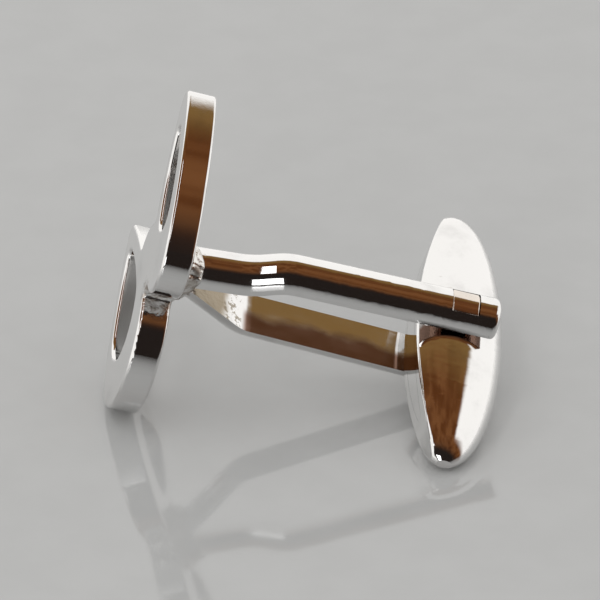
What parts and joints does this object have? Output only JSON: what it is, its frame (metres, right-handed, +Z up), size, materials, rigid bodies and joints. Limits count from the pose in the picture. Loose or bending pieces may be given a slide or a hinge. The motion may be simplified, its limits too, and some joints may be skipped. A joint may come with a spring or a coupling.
{
  "type": "cufflink",
  "caption": "Polished cufflink: openwork petal emblem on a half-round fork, with a torpedo toggle that swivels on a pin to pass a buttonhole.",
  "frame": {"origin": "centre of the cufflink's box, on the table it lies on", "axes": "+Z up from the table; +X along the table from the emblem towards the toggle; +Y across, away from the viewer"},
  "size_m": [0.0212, 0.0166, 0.0166],
  "materials": {
    "polished_emblem": "mirror polished white metal plating",
    "polished_fork": "mirror polished white metal plating",
    "solder": "plated over uneven solder",
    "polished_pin": "polished, slightly worn edges",
    "polished_toggle": "mirror polished white metal plating",
    "polished_cover": "mirror polished white metal plating",
    "spring_steel": "blued spring strip"
  },
  "bodies": {
    "frame": {"emblem_plate": "polished_emblem", "solder_joint": "solder", "upper_arm": "polished_fork", "lower_arm": "polished_fork", "pivot_pin": "polished_pin"},
    "toggle": {"toggle_shell": "polished_toggle", "toggle_cover": "polished_cover", "detent_spring": "spring_steel"}
  },
  "joints": [
    {"name": "toggle_swivel", "type": "hinge", "parent": "frame", "child": "toggle", "pos_m": [0.0078, 0.00024, 0.00347], "axis": [-0.2876, 0.3224, -0.9019], "range_deg": [-90, 90], "deforming": ["detent_spring"]}
  ]
}
